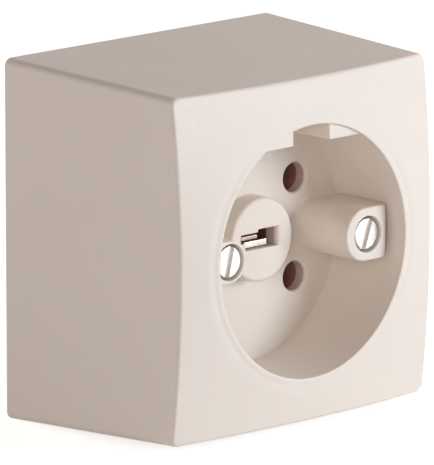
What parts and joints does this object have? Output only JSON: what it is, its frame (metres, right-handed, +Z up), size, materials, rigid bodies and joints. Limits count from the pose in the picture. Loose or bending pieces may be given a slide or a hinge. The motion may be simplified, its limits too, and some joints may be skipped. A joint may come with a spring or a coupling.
{
  "type": "surface mounted socket outlet",
  "caption": "Square surface mounted socket outlet: a deep drafted cap whose pillowed front has a keyed round well with pin holes, sunk screw posts and a slotted earth boss.",
  "frame": {"origin": "centre of the wall face, on the back plate's rear surface", "axes": "+Y into the wall, -Y out of the front, +Z up as mounted, +X to the right as seen from the front"},
  "size_m": [0.08, 0.0549, 0.08],
  "materials": {
    "cover": "smooth cream moulding, satin to glossy",
    "carrier": "brown thermoset moulding",
    "plate": "plain moulding",
    "fibre": "pressed insulating sheet",
    "spring": "tin plated copper alloy strip",
    "terminal": "machined brass",
    "screw": "zinc plated steel",
    "rubber": "soft black rubber"
  },
  "bodies": {
    "root": {"front_cover": "cover", "cover_screw_left": "screw", "cover_screw_right": "screw", "contact_carrier": "carrier", "carrier_back": "fibre", "line_1_contact": "spring", "line_2_contact": "spring", "line_3_contact": "spring", "neutral_contact": "spring", "earth_contact": "spring", "line_1_terminal": "terminal", "line_2_terminal": "terminal", "line_3_terminal": "terminal", "neutral_terminal": "terminal", "earth_terminal": "terminal", "line_1_screw": "screw", "line_2_screw": "screw", "line_3_screw": "screw", "neutral_screw": "screw", "earth_screw": "screw", "nut_insert_left": "terminal", "nut_insert_right": "terminal", "carrier_screw_left": "screw", "carrier_screw_right": "screw", "back_plate": "plate", "cable_grommet": "rubber"}
  },
  "joints": []
}
